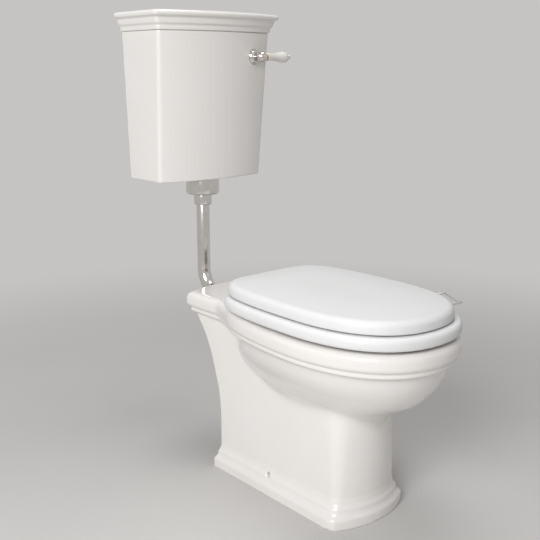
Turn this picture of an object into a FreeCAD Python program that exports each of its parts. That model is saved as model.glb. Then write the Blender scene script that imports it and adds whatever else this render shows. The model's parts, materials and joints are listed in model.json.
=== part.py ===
"""Low level toilet: pan, seat, wall cistern, flush pipe and the works inside the cistern.

Millimetres. +Z is up, the front faces -Y, the wall is on the +Y side.
The origin is on the floor, on the centre line, at the middle of the pan's foot.
"""
import FreeCAD, Part
import math
import os

Vector = FreeCAD.Vector
RIGHT = Vector(1, 0, 0)
BACK = Vector(0, 1, 0)
UP = Vector(0, 0, 1)

# Pan: rim and shelf
wall_y = 474.0              # finished wall behind the cistern
rim_top = 412.0
rim_half_width = 182.0
rim_centre_y = -113.0       # where the rim is widest
rim_front_reach = 245.0     # from the widest line to the front
rim_back_reach = 300.0      # half length of the oval behind the widest line
front_fullness = 0.62       # how square the front of rim and bowl is; 0.55 is an ellipse
neck_turn = 52.0            # degrees of the back oval kept before the shelf takes over
neck_pull = 42.0            # how strongly the side bends between oval and shelf
shelf_half_width = 115.0
shelf_side_start = 172.0    # where the shelf's straight sides begin
shelf_corner_y = 302.0
shelf_bow = 20.0            # how far the back edge swells past its corners
shelf_wall = 16.0
bowl_wall = 13.0

# Pan: pedestal and plinth
foot_half_width = 110.0
foot_back_y = 212.0
foot_corner_y = -181.0
foot_bow = 32.0
plinth_height = 58.0
plinth_set_back = 12.5      # pedestal face behind the plinth's lower band, at front and back
front_narrowing = 21.0      # pedestal's front corner inside the plinth's
corner_set_back = 10.0      # and behind it
plinth_corner_radius = 14.0
neck_corner_radius = 40.0   # pedestal's front corners where they meet the bowl
back_sweep_drop = 292.0     # where the back begins to sweep out, below the rim's top
back_sweep_radius = 380.0
pedestal_wall = 13.0
ceiling_drop = 60.0         # top of the pedestal's hollow below the rim's top

# Pan: passages and holes
outlet_radius = 43.0
outlet_wall = 8.0
outlet_height = 190.0
outlet_end_y = 262.0
outlet_turn_y = 142.0
trap_bend_radius = 60.0
sump_y = -95.0              # where the trap leaves the bowl
sump_height = 150.0
weir_start_y = 22.0
weir_end_y = 94.0
weir_height = 236.0
flush_way_start = 60.0
inlet_drop = 32.0           # middle of the flush inlet below the rim's top
inlet_hole_radius = 21.0
side_screw_y = 28.0
side_screw_height = 42.0
side_screw_hole_radius = 5.5

# Seat: ring and lid
ring_lift = 7.0             # air between rim and ring
ring_thickness = 24.5
ring_half_width = 177.0
ring_front_reach = 241.0
aperture_half_width = 104.0
aperture_half_length = 146.0
aperture_y = -128.0
lid_gap = 2.5               # between ring and lid
lid_edge = 26.0             # height of the lid's edge
lid_crown = 6.0
lid_wall = 8.0
lid_solid_back = 28.0       # solid stretch of the lid in front of the pin
lid_half_width = 163.0
lid_front_reach = 225.0
seat_front_fullness = 0.65
seat_back_half_width = 64.0 # straight stretch at the back of ring and lid
seat_back_fullness = 0.82   # how square the back corners are
seat_behind_hinge = 10.0
seat_clearance = 0.3        # air under each buffer
buffer_radius = 9.0
buffer_foot_radius = 6.5
buffer_chamfer = 1.0

# Seat: hinges and lift handle
hinge_y = 140.0
hinge_rise = 22.0           # pin above the rim's top
hinge_spacing = 140.0
hinge_pin_radius = 3.0
hinge_running_gap = 0.05
knuckle_radius = 8.0
eye_length = 15.0
knuckle_length = 15.0
knuckle_gap = 1.0
hinge_notch_front = 12.0    # notch reaches this far in front of the pin
pillar_base_radius = 15.0
pillar_base_height = 2.0
pillar_shoulder_height = 1.5
pillar_shoulder_radius = 7.0
pillar_neck_radius = 6.0
stud_radius = 4.0
stud_gap = 2.0
stud_tail = 22.0            # stud below the shelf
washer_thickness = 1.5
washer_radius = 14.5
wing_nut_radius = 12.0
wing_nut_flange = 2.5
wing_nut_hub_radius = 8.0
wing_nut_height = 12.0
wing_half_length = 14.0
wing_thickness = 3.0
nut_room = 2.0              # air round the wing nuts under the shelf
handle_angle = 30.3         # degrees that the posts turn from the right to the front
handle_slope = 9.0          # degrees that the posts rise
handle_foot_x = 146.5       # middle of the handle's foot, inside the ring
handle_foot_y = -175.0
handle_foot_rise = 14.0
handle_width = 82.0
handle_reach = 75.0         # from the foot to the bar
handle_post_radius = 2.6
handle_post_chamfer = 1.0
handle_front_end = 7.0      # posts past the bar
handle_back_end = 2.5
handle_bar_radius = 1.6

# Cistern
cistern_bottom = 663.0
cistern_height = 339.0
cistern_bottom_half_width = 149.0
cistern_top_half_width = 159.0
cistern_bottom_depth = 124.0
cistern_top_depth = 150.0
cistern_bow = 25.0
cistern_corner_radius = 8.0
cistern_wall = 9.0
cistern_floor = 11.0
lid_overhang = 19.0
lid_height = 42.0
lip_depth = 9.0
lip_clearance = 2.0
lip_wall = 7.0
wall_hole_spacing = 200.0
wall_hole_drop = 77.0       # wall screws below the cistern's top
wall_hole_radius = 4.0

# Flush pipe and siphon
pipe_y = 387.0
pipe_radius = 16.0
pipe_wall = 1.2
pipe_bend_radius = 58.0
pipe_into_pan = 22.0
cup_radius = 40.5
cup_height = 40.0
cup_wall = 1.6
cup_round = 3.0
coupling_radius = 22.0
coupling_height = 27.0
coupling_round = 2.0
coupling_lip = 5.0
tail_radius = 19.0
tail_wall = 3.0
tail_gap = 0.6
tail_below_floor = 48.0
seal_gap = 0.15             # rubber to its seat
cone_step = 0.3             # flange of the cone off the pan
cone_flange_radius = 27.0
cone_flange_height = 4.0
cone_collar_height = 10.0
cone_collar_wall = 2.0
cone_lead = 3.0             # tapered nose of the cone
siphon_flange_radius = 30.0
siphon_flange_height = 5.0
siphon_seal = 3.0
siphon_nut_radius = 33.0    # over the corners
siphon_nut_height = 14.0
chamber_radius = 21.0
chamber_wall = 2.5
chamber_height = 150.0
chamber_lift = 8.0
hood_height = 42.0
hood_overlap = 5.0
rod_radius = 2.5
rod_gap = 0.6
rod_below_plate = 6.0
plate_rest = 14.0
plate_gap = 0.6
plate_thickness = 4.0

# Flush lever
lever_x = 104.0
lever_drop = 56.0           # spindle below the cistern's top
lever_reach = 110.0
lever_seat_depth = 1.6      # flat that the rose sits in
rose_radius = 18.0
rose_gap = 0.4
rose_thickness = 10.0
rose_face = 2.0             # flat ring round the bush
rose_bore_gap = 0.1
ball_radius = 13.0
ball_stand_off = 3.0        # hub off the rose
ball_depth_share = 0.92     # how much of the hub's radius stands in front of its flat back
collar_start = 11.0
collar_length = 5.0
collar_radius = 9.0
collar_bulge = 0.8
tip_length = 11.0
spindle_radius = 5.0
spindle_gap = 0.05
spindle_end = 2.0           # spindle past the link's middle
bush_radius = 9.0
bush_gap = 0.4
bush_length = 20.0
lever_nut_radius = 15.0     # over the corners
lever_nut_height = 8.0
lever_nut_seat_depth = 0.7  # flat inside the wall that the nut sits in
lever_nut_room = 2.0
crank_reach = 59.0
crank_plane = 66.0          # distance of the rod's link behind the rose's seat
crank_thickness = 4.0
crank_half_width = 5.0
crank_boss_radius = 10.0
crank_gap = 1.0
link_thickness = 3.0
link_height = 18.0
link_slot = 24.0
link_end = 5.0
link_pin_radius = 2.0
link_pin_gap = 0.9
link_pin_end = 2.0

# Inlet valve and float
valve_y = 441.0
valve_drop = 40.0           # inlet below the cistern's top
valve_reach = 52.0
valve_radius = 11.0
valve_bore_radius = 5.0
valve_bore_depth = 30.0
valve_flange_radius = 16.0
valve_flange_height = 4.0
valve_seal = 2.0
spout_radius = 7.0
spout_drop = 12.0           # spout below the valve's body
spout_set_in = 22.0
tail_thread_radius = 10.4
tail_out = 34.0             # threaded tail outside the cistern
spigot_radius = 10.1        # free end that the supply connector takes
spigot_length = 20.0
inlet_hole_gap = 0.6
inlet_nut_radius = 17.0     # over the corners
inlet_nut_height = 9.0
inlet_seat_depth = 0.6      # flats in the side wall for the inlet's washer and nut
inlet_seat_room = 3.0
pivot_drop = 20.0
cheek_half = 8.0
cheek_thickness = 3.0
cheek_gap = 0.5
float_pin_radius = 2.0
float_pin_end = 1.0
arm_eye_width = 8.0
arm_eye_radius = 6.0
arm_radius = 3.0
float_arm_length = 168.0
float_drop = 34.0           # degrees below level when the cistern is empty
float_radius = 20.0
float_length = 66.0
float_round = 8.0

# Heights and places that follow from these
inlet_height = rim_top - inlet_drop
back_sweep_start = rim_top - back_sweep_drop
hinge_z = rim_top + hinge_rise
ring_bottom = rim_top + ring_lift
ring_top = ring_bottom + ring_thickness
lid_bottom = ring_top + lid_gap
lid_top = lid_bottom + lid_edge
seat_back_y = hinge_y + seat_behind_hinge
cistern_top = cistern_bottom + cistern_height
lever_z = cistern_top - lever_drop
valve_z = cistern_top - valve_drop
wall_hole_height = cistern_top - wall_hole_drop
floor_top = cistern_bottom + cistern_floor
tail_end = cistern_bottom - tail_below_floor
flange_base = floor_top + siphon_seal
chamber_foot = floor_top + chamber_lift
hood_base = chamber_foot + chamber_height
hood_top = hood_base + hood_height
lever_nut_seat = cistern_wall - lever_seat_depth - lever_nut_seat_depth
ball_y = -rose_thickness - ball_stand_off - ball_radius * ball_depth_share
far = 2 * cistern_top       # longer than anything that is cut
over = 1.0                  # how far a cut runs past a face


def ring_edge(points):
    """Closed wire of straight edges through points."""
    return Part.makePolygon(points + [points[0]])


def line(start, end):
    return Part.LineSegment(start, end).toShape()


def arc(start, middle, end):
    return Part.Arc(start, middle, end).toShape()


def bezier(poles):
    curve = Part.BezierCurve()
    curve.setPoles(poles)
    return curve.toShape()


def rod(radius, length, base, axis):
    return Part.makeCylinder(radius, length, base, axis)


def through(radius, middle, axis):
    """Long round bar through a point, for cutting holes."""
    return rod(radius, 2 * far, middle - axis * far, axis)


def tube(outer, inner, length, base, axis):
    """Straight round tube."""
    return rod(outer, length, base, axis).cut(rod(inner, length, base, axis))


def turned(profile):
    """Solid of revolution about Z from (radius, height) points."""
    face = Part.Face(ring_edge([Vector(radius, 0, height) for radius, height in profile]))
    return face.revolve(Vector(), UP, 360)


def hexagon(radius, height, base, first, second):
    """Six-sided bar whose section lies along two directions."""
    turns = [k * math.pi / 3 for k in range(6)]
    corners = [base + first * (radius * math.cos(t)) + second * (radius * math.sin(t)) for t in turns]
    return Part.Face(ring_edge(corners)).extrude(first.cross(second) * height)


def block(x0, x1, y0, y1, z0, z1):
    return Part.makeBox(x1 - x0, y1 - y0, z1 - z0, Vector(x0, y0, z0))


def behind(y):
    """Everything behind a plane, for cutting."""
    return block(-far, far, y, y + far, -far, far)


def mirrored(shape):
    """The same shape on the other side of the centre line."""
    return shape.mirror(Vector(), RIGHT)


def flip(point):
    return Vector(-point.x, point.y, point.z)


def placed(shape, placement):
    moved = shape.copy()
    moved.Placement = placement.multiply(moved.Placement)
    return moved


def along(shape, base, axis):
    """Turn a shape made about Z so that it stands at base along axis."""
    return placed(shape, FreeCAD.Placement(base, FreeCAD.Rotation(UP, axis)))


def loft(wires):
    return Part.makeLoft(wires, True, True)


def bent_path(points, radius):
    """Straight runs joined by tangent arcs of one radius."""
    edges = []
    start = points[0]
    for before, corner, after in zip(points, points[1:], points[2:]):
        towards = (before - corner).normalize()
        away = (after - corner).normalize()
        half = towards.getAngle(away) / 2
        setback = radius / math.tan(half)
        first = corner + towards * setback
        last = corner + away * setback
        bisector = (towards + away).normalize()
        middle = corner + bisector * (radius / math.sin(half) - radius)
        edges.append(line(start, first))
        edges.append(arc(first, middle, last))
        start = last
    edges.append(line(start, points[-1]))
    return Part.Wire(edges)


def swept(path, radius, start, axis):
    """Round bar along a path."""
    circle = Part.Wire(Part.makeCircle(radius, start, axis))
    return path.makePipeShell([circle], True, True)


def both_sides(right_edges, across):
    """Closed outline from the right side's edges, their mirror images and edges across the middle."""
    left_edges = [mirrored(edge) for edge in right_edges]
    return Part.Wire(Part.__sortEdges__(right_edges + left_edges + across))


def quarter(half_width, reach, fullness, y, z):
    """Quarter of an oval from its end on the centre line to its widest point; reach is to the front."""
    end = Vector(0, y - reach, z)
    widest = Vector(half_width, y, z)
    return bezier([end, end + RIGHT * (fullness * half_width), widest - BACK * (fullness * reach), widest])


def oval(half_width, front, back, y, z):
    """Closed oval with its own reach to the front and to the back."""
    return both_sides([quarter(half_width, reach, front_fullness, y, z) for reach in (front, -back)], [])


# Pan
def pan_outline(inset, z):
    """Plan of rim and shelf: oval front, waisted sides, shelf with a bowed back."""
    half_width = rim_half_width - inset
    back_reach = rim_back_reach - inset
    turn = math.radians(neck_turn)
    centre = Vector(0, rim_centre_y, z)
    front = quarter(half_width, rim_front_reach - inset, front_fullness, rim_centre_y, z)
    ellipse = Part.Ellipse(centre + BACK * back_reach, centre - RIGHT * half_width, centre)
    side = Part.ArcOfEllipse(ellipse, -math.pi / 2, -turn).toShape()
    leave = centre + Vector(half_width * math.sin(turn), back_reach * math.cos(turn), 0)
    heading = Vector(-half_width * math.cos(turn), back_reach * math.sin(turn), 0).normalize()
    meet = Vector(shelf_half_width - inset, shelf_side_start, z)
    neck = bezier([leave, leave + heading * neck_pull, meet - BACK * neck_pull, meet])
    corner = Vector(shelf_half_width - inset, shelf_corner_y - inset, z)
    straight = line(meet, corner)
    back = arc(corner, Vector(0, shelf_corner_y + shelf_bow - inset, z), flip(corner))
    return both_sides([front, side, neck, straight], [back])


# Heights below the rim's top and insets of the rim's moulding, from the top down
rim_moulding = [(0, 13), (1, 8), (4, 4), (9, 1), (16, 0), (28, 0), (32, 1.5), (35, 5), (37, 8),
                (39, 8.5), (40.5, 7), (45, 7), (47, 9), (49, 13), (52, 16)]
rim_foot_inset = rim_moulding[-1][1]
pedestal_top = rim_top - rim_moulding[-4][0]

# Change of half width and of front reach from the moulding's foot, and height below the rim's top,
# of the bowl's outside
bowl_outside = [(-1, -1, 48), (-5, -6, 70), (-12, -14, 87), (-22, -24, 104), (-34, -37, 121),
                (-49, -54, 138), (-60, -76, 150), (-66, -100, 161), (-73, -118, 173),
                (-82, -131, 186), (-92, -139, 201), (-100, -143, 218)]

# Half width, half length, centre and height below the rim's top of the space inside the bowl
bowl_inside = [(129, 187, -113, -1), (131, 189, -113, 21), (147, 207, -112, 29), (150, 212, -113, 52),
               (146, 208, -113, 72), (138, 199, -113, 90), (128, 189, -113, 108), (114, 174, -112, 126),
               (98, 154, -108, 144), (80, 128, -102, 162), (62, 100, -94, 180), (50, 78, -86, 207),
               (44, 62, -80, 237)]


def bowl_space(grow):
    wires = [oval(w + grow, h + grow, h + grow, y, rim_top - drop) for w, h, y, drop in bowl_inside]
    wires[-1].translate(UP * -grow)
    return loft(wires)


def bowl_body():
    """Outside of the bowl, drawn in below to meet the pedestal in a hollow curve."""
    half_width = rim_half_width - rim_foot_inset
    reach = rim_front_reach - rim_foot_inset
    wires = []
    for narrower, shorter, drop in bowl_outside:
        half_length = reach + shorter / 2
        centre = rim_centre_y - shorter / 2
        wires.append(oval(half_width + narrower, half_length, half_length, centre, rim_top - drop))
    return loft(wires)


def bow_fronted(front_half, back_half, corner_y, bow, back_y, radius, z):
    """Plan with straight sides and back and a bowed front with rounded corners."""
    bow_radius = (front_half ** 2 + bow ** 2) / (2 * bow)
    turn = math.asin(front_half / bow_radius) - radius / bow_radius
    crest = Vector(0, corner_y - bow, z)
    corner = Vector(front_half, corner_y, z)
    rear = Vector(back_half, back_y, z)
    leave = crest + Vector(bow_radius * math.sin(turn), bow_radius * (1 - math.cos(turn)), 0)
    meet = corner + (rear - corner).normalize() * radius
    right = [bezier([leave, corner, meet]), line(meet, rear)]
    return both_sides(right, [arc(flip(leave), crest, leave), line(rear, flip(rear))])


def foot_outline(share, z):
    """Plan between the plinth's foot, share 0, and the pedestal, share 1."""
    inset = share * plinth_set_back
    bow = foot_bow + share * (corner_set_back - plinth_set_back)
    return bow_fronted(foot_half_width - share * front_narrowing, foot_half_width - inset,
                       foot_corner_y + share * corner_set_back, bow, foot_back_y - inset,
                       plinth_corner_radius, z)


pedestal_front_half = foot_half_width - front_narrowing
pedestal_corner_y = foot_corner_y + corner_set_back
pedestal_bow = foot_bow + corner_set_back - plinth_set_back


def pedestal_half_width(y):
    """Half width of the pedestal, whose sides draw in towards the front."""
    length = foot_back_y - plinth_set_back - pedestal_corner_y
    return pedestal_front_half + (y - pedestal_corner_y) * (front_narrowing - plinth_set_back) / length


# Share of the plinth's height and of its set-back, from the floor up
plinth_moulding = [(0, 0), (0.36, 0), (0.41, 0.14), (0.5, 0.42), (0.6, 0.54), (0.7, 0.57),
                   (0.75, 0.72), (0.86, 0.9), (1, 0.96)]


def pedestal_side():
    """Side view of the pedestal with its swept back, as a face at X = 0."""
    rear = foot_back_y - plinth_set_back
    turn = math.asin((pedestal_top - back_sweep_start) / back_sweep_radius)
    sweep = []
    for angle in (0, turn / 2, turn):
        out = back_sweep_radius * (1 - math.cos(angle))
        sweep.append(Vector(0, rear + out, back_sweep_start + back_sweep_radius * math.sin(angle)))
    front = foot_corner_y - foot_bow
    base = plinth_height / 2
    front_low = Vector(0, front, base)
    front_high = Vector(0, front, pedestal_top)
    rear_low = Vector(0, rear, base)
    edges = [line(front_low, rear_low), line(rear_low, sweep[0]), arc(*sweep),
             line(sweep[2], front_high), line(front_high, front_low)]
    return Part.Face(Part.Wire(edges))


def pedestal():
    side = pedestal_side()
    side.translate(RIGHT * -far)
    upright = loft([bow_fronted(pedestal_front_half, pedestal_half_width(wall_y), pedestal_corner_y,
                                pedestal_bow, wall_y, radius, z)
                    for radius, z in ((plinth_corner_radius, plinth_height / 2),
                                      (neck_corner_radius, pedestal_top))])
    return upright.common(side.extrude(RIGHT * (2 * far)))


def trap_tube(radius, lead):
    """Trap: up from the sump, over the weir and out to the back; lead is cut off its start."""
    sump = Vector(0, sump_y, sump_height)
    weir = Vector(0, weir_start_y, weir_height)
    heading = (weir - sump).normalize()
    start = sump + heading * lead
    points = [start, weir, Vector(0, weir_end_y, weir_height), Vector(0, outlet_turn_y, outlet_height),
              Vector(0, outlet_end_y, outlet_height)]
    return swept(bent_path(points, trap_bend_radius), radius, start, heading)


def flush_way(radius):
    """Round passage from the bowl back through the shelf."""
    return rod(radius, wall_y - flush_way_start, Vector(0, flush_way_start, inlet_height), BACK)


def pan_hollow():
    """Space inside the plinth, the pedestal and the shelf, open below and behind."""
    half_width = pedestal_front_half - pedestal_wall
    front_y = foot_corner_y + plinth_set_back + pedestal_wall
    ceiling = rim_top - ceiling_drop
    lower = block(-half_width, half_width, front_y, wall_y, -over, ceiling)
    pocket = max(half_width, hinge_spacing / 2 + wing_nut_radius + nut_room)
    pocket_back = shelf_corner_y - shelf_wall
    upper = block(-pocket, pocket, hinge_y - shelf_wall, pocket_back, ceiling, rim_top - shelf_wall)
    return lower.fuse(upper)


def build_pan():
    rim = loft([pan_outline(inset, rim_top - drop) for drop, inset in rim_moulding])
    plinth = loft([foot_outline(share, plinth_height * rise) for rise, share in plinth_moulding])
    body = rim.fuse([bowl_body(), pedestal(), plinth])
    trap_outside = trap_tube(outlet_radius + outlet_wall, 0)
    keep = bowl_space(bowl_wall).fuse([trap_outside, flush_way(inlet_hole_radius + outlet_wall)])
    body = body.cut(pan_hollow().cut(keep))
    body = body.fuse(trap_outside.common(behind(foot_back_y / 2)))
    cuts = [bowl_space(0), trap_tube(outlet_radius, 2 * outlet_wall), flush_way(inlet_hole_radius)]
    for side in (-1, 1):
        stud_hole = Vector(side * hinge_spacing / 2, hinge_y, rim_top - shelf_wall - over)
        cuts.append(rod(stud_radius + stud_gap, shelf_wall + 2 * over, stud_hole, UP))
        screw_hole = Vector(side * foot_half_width / 2, side_screw_y, side_screw_height)
        cuts.append(rod(side_screw_hole_radius, foot_half_width, screw_hole, RIGHT * side))
    return body.cut(cuts)


# Seat
def seat_outline(half_width, reach, inset, z):
    """Plan of ring or lid: oval front, full sides and a short straight back."""
    widest = Vector(half_width - inset, rim_centre_y, z)
    rear = Vector(seat_back_half_width * widest.x / half_width, seat_back_y - inset, z)
    run = BACK * (seat_back_fullness * (rear.y - widest.y))
    draw_in = RIGHT * (seat_back_fullness * (widest.x - rear.x))
    side = bezier([widest, widest + run, rear + draw_in, rear])
    front = quarter(widest.x, reach - inset, seat_front_fullness, rim_centre_y, z)
    return both_sides([front, side], [line(rear, flip(rear))])


# Heights as shares of the ring's thickness and insets, from below
ring_edge_shape = [(0, 3.5), (0.07, 1.2), (0.18, 0.2), (0.35, 0), (0.58, 0.4), (0.76, 1.6), (0.89, 4),
                   (0.97, 7.5), (1, 11)]
aperture_shape = [(-0.01, -3), (0.2, 0), (0.75, 0), (1.01, -6)]

# Heights as shares of the lid's edge and insets, from below
lid_edge_shape = [(0, 1.6), (0.08, 0.3), (0.25, 0), (0.48, 0.4), (0.66, 1.6), (0.8, 3.8), (0.91, 7),
                  (0.97, 10.5), (1, 15)]

# Shares of the lid's crown and insets, from the edge to the middle
lid_crown_shape = [(0.4, 40), (0.78, 70), (1, 105)]

knuckle_start = eye_length / 2 + knuckle_gap
notch_half_width = knuckle_start + knuckle_length + knuckle_gap


def on_both_hinges(shape):
    """One copy at each hinge of a shape made for the right one at X = 0."""
    right = shape.copy()
    right.translate(Vector(hinge_spacing / 2, hinge_y, 0))
    return Part.Compound([right, mirrored(right)])


def hinge_bar(radius, start, length):
    """Round bar about the hinge's axis, measured outward from the hinge's middle."""
    return rod(radius, length, Vector(start, 0, hinge_z), RIGHT)


def hinge_pin_bar(gap):
    half = knuckle_start + knuckle_length
    return on_both_hinges(hinge_bar(hinge_pin_radius + gap, -half, 2 * half))


def build_seat_ring():
    body = loft([seat_outline(ring_half_width, ring_front_reach, inset, ring_bottom + rise * ring_thickness)
                 for rise, inset in ring_edge_shape])
    wires = []
    for rise, inset in aperture_shape:
        length = aperture_half_length - inset
        height = ring_bottom + rise * ring_thickness
        wires.append(oval(aperture_half_width - inset, length, length, aperture_y, height))
    notch = on_both_hinges(block(-notch_half_width, notch_half_width, -hinge_notch_front, hinge_y,
                                 ring_bottom - over, ring_top + over))
    web = block(knuckle_start, knuckle_start + knuckle_length, -hinge_notch_front - over, 0,
                hinge_z - knuckle_radius, hinge_z + knuckle_radius / 2)
    knuckle = hinge_bar(knuckle_radius, knuckle_start, knuckle_length).fuse(web)
    body = body.cut([loft(wires), notch]).fuse(on_both_hinges(knuckle).Solids)
    return body.cut([hinge_pin_bar(hinge_running_gap), build_lift_handle()])


def build_seat_lid():
    plan = (lid_half_width, lid_front_reach)
    wires = [seat_outline(*plan, inset, lid_bottom + rise * lid_edge) for rise, inset in lid_edge_shape]
    wires += [seat_outline(*plan, inset, lid_top + rise * lid_crown) for rise, inset in lid_crown_shape]
    under_top = lid_top - lid_wall
    under = loft([seat_outline(*plan, lid_wall, lid_bottom - over),
                  seat_outline(*plan, 2 * lid_wall, under_top)])
    body = loft(wires).cut(under.cut(behind(hinge_y - lid_solid_back)))
    web = block(-knuckle_start - knuckle_length, -knuckle_start, -knuckle_radius, knuckle_radius / 2,
                hinge_z, lid_bottom + over)
    knuckle = hinge_bar(knuckle_radius, -knuckle_start - knuckle_length, knuckle_length).fuse(web)
    return body.fuse(on_both_hinges(knuckle).Solids).cut(hinge_pin_bar(hinge_running_gap))


def build_hinge_pillars():
    low = rim_top + washer_thickness
    shoulder = low + pillar_base_height + pillar_shoulder_height
    base = turned([(0, low), (pillar_base_radius, low), (pillar_base_radius, low + pillar_base_height),
                   (pillar_shoulder_radius, shoulder), (pillar_neck_radius, hinge_z), (0, hinge_z)])
    eye = hinge_bar(knuckle_radius, -eye_length / 2, eye_length)
    stud_length = shelf_wall + stud_tail
    stud = rod(stud_radius, stud_length + washer_thickness, UP * (rim_top - stud_length), UP)
    return on_both_hinges(base.fuse([eye, stud])).cut(hinge_pin_bar(0))


def build_hinge_pins():
    return hinge_pin_bar(0)


def build_hinge_washers():
    return on_both_hinges(tube(washer_radius, stud_radius, washer_thickness, UP * rim_top, UP))


def build_wing_nuts():
    top = rim_top - shelf_wall
    low = top - wing_nut_height
    neck = top - wing_nut_flange - wing_nut_radius + wing_nut_hub_radius
    hub = turned([(stud_radius, top), (wing_nut_radius, top), (wing_nut_radius, top - wing_nut_flange),
                  (wing_nut_hub_radius, neck), (wing_nut_hub_radius, low), (stud_radius, low)])
    wing = block(-wing_thickness / 2, wing_thickness / 2, -wing_half_length, wing_half_length, low, neck)
    return on_both_hinges(hub.fuse(wing).cut(through(stud_radius, Vector(), UP)))


def buffer_pads(spots, half_width, reach, top, height):
    """Round rubber pads hung from a face; spots are shares of the plan's half width and reach."""
    chamfer = top - height + buffer_chamfer
    profile = [(0, top), (buffer_radius, top), (buffer_radius - buffer_chamfer, chamfer),
               (buffer_foot_radius, top - height), (0, top - height)]
    pads = []
    for across, ahead in spots:
        pad = turned(profile)
        pad.translate(Vector(across * half_width, rim_centre_y - ahead * reach, 0))
        pads += [pad, mirrored(pad)]
    return Part.Compound(pads)


def build_ring_buffers():
    height = ring_lift - seat_clearance
    spots = [(0.87, -0.22), (0.54, 0.72)]
    return buffer_pads(spots, ring_half_width, ring_front_reach, ring_bottom, height)


def build_lid_buffers():
    top = lid_top - lid_wall
    height = top - ring_top - seat_clearance
    return buffer_pads([(0.83, -0.01), (0.32, 0.85)], lid_half_width, lid_front_reach, top, height)


def build_lift_handle():
    """Thin chrome bar on two posts that slope up from the ring's right side, near the front."""
    turn = math.radians(handle_angle)
    sideways = Vector(math.sin(turn), math.cos(turn), 0)
    outward = Vector(math.cos(turn), -math.sin(turn), math.tan(math.radians(handle_slope))).normalize()
    foot = Vector(handle_foot_x, handle_foot_y, ring_bottom + handle_foot_rise)
    half = sideways * (handle_width / 2)
    posts = []
    for base, past in ((foot - half, handle_front_end), (foot + half, handle_back_end)):
        end = handle_reach + past
        profile = [(0, 0), (handle_post_radius, 0), (handle_post_radius, end - handle_post_chamfer),
                   (handle_post_radius - handle_post_chamfer, end), (0, end)]
        posts.append(along(turned(profile), base, outward))
    bar = rod(handle_bar_radius, handle_width, foot + outward * handle_reach - half, sideways)
    return bar.fuse(posts)


# Cistern
def cistern_half_width(z):
    share = (z - cistern_bottom) / cistern_height
    return cistern_bottom_half_width + share * (cistern_top_half_width - cistern_bottom_half_width)


def cistern_corner_y(z):
    """Where the side meets the bowed front."""
    share = (z - cistern_bottom) / cistern_height
    return wall_y - cistern_bottom_depth - share * (cistern_top_depth - cistern_bottom_depth)


def cistern_outline(size_z, grow, z, back_y):
    """Plan of the cistern at size_z, grown at the front and sides, drawn at height z."""
    half_width = cistern_half_width(size_z) + grow
    return bow_fronted(half_width, half_width, cistern_corner_y(size_z) - grow, cistern_bow, back_y,
                       cistern_corner_radius, z)


def cistern_inside(z):
    return cistern_outline(z, -cistern_wall, z, wall_y - cistern_wall)


def against_wall(wires):
    """Loft that runs past the wall, cut off flat at it."""
    return loft(wires).cut(behind(wall_y))


def lever_frame():
    """Placement of the lever: its seat on the bowed front, turned square to the bow."""
    half_chord = cistern_half_width(lever_z)
    radius = (half_chord ** 2 + cistern_bow ** 2) / (2 * cistern_bow)
    turn = math.asin(lever_x / radius)
    crest = cistern_corner_y(lever_z) - cistern_bow
    face_y = crest + radius * (1 - math.cos(turn)) + lever_seat_depth
    return FreeCAD.Placement(Vector(lever_x, face_y, lever_z), FreeCAD.Rotation(UP, math.degrees(turn)))


def inlet_at(x):
    """Point on the inlet valve's middle line."""
    return Vector(x, valve_y, valve_z)


def build_cistern():
    outside = against_wall([cistern_outline(z, 0, z, wall_y + over)
                            for z in (cistern_bottom, cistern_top)])
    inside = loft([cistern_inside(z) for z in (floor_top, cistern_top + over)])
    holes = [rod(tail_radius + tail_gap, floor_top, Vector(0, pipe_y, 0), UP)]
    for side in (-1, 1):
        spot = Vector(side * wall_hole_spacing / 2, pipe_y, wall_hole_height)
        holes.append(rod(wall_hole_radius, far, spot, BACK))
    seat_radius = valve_flange_radius + inlet_seat_room
    holes.append(rod(tail_thread_radius + inlet_hole_gap, far, inlet_at(valve_end_x()), RIGHT))
    holes.append(rod(seat_radius, valve_reach, inlet_at(valve_wall_x() - valve_reach), RIGHT))
    holes.append(rod(seat_radius, far, inlet_at(nut_wall_x()), RIGHT))
    lever_hole = rod(bush_radius + bush_gap, crank_plane, BACK * -lever_seat_depth, BACK)
    lever_seat = rod(rose_radius + rose_gap, crank_plane, Vector(), -BACK)
    nut_flat = rod(lever_nut_radius + lever_nut_room, crank_plane, BACK * lever_nut_seat, BACK)
    holes += [placed(hole, lever_frame()) for hole in (lever_hole, lever_seat, nut_flat)]
    return outside.cut([inside] + holes)


# Share of the lid's height and of its overhang, from below
lid_moulding = [(0, 0.1), (0.14, 0.12), (0.2, 0.24), (0.36, 0.36), (0.5, 0.56), (0.6, 0.84), (0.66, 1),
                (0.8, 1), (0.9, 0.86), (0.96, 0.6), (1, 0.1)]


def lid_inside(inset, low, high):
    """Upright body inside the cistern's walls, from low to high above the cistern's top."""
    back_y = wall_y - cistern_wall - inset
    return loft([cistern_outline(cistern_top, -cistern_wall - inset, cistern_top + z, back_y)
                 for z in (low, high)])


def build_cistern_lid():
    cover = against_wall([cistern_outline(cistern_top, share * lid_overhang,
                                          cistern_top + rise * lid_height, wall_y + over)
                          for rise, share in lid_moulding])
    ceiling = lid_height / 2
    outer = lid_inside(lip_clearance, -lip_depth, ceiling + over)
    inner = lid_inside(lip_clearance + lip_wall, -lip_depth - over, ceiling + over)
    return cover.cut(lid_inside(0, -over, ceiling)).fuse(outer.cut(inner))


# Flush pipe and its joints
def under_cistern(profile):
    """Turned piece round the pipe's upright middle line."""
    piece = turned(profile)
    piece.translate(BACK * pipe_y)
    return piece


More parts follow.
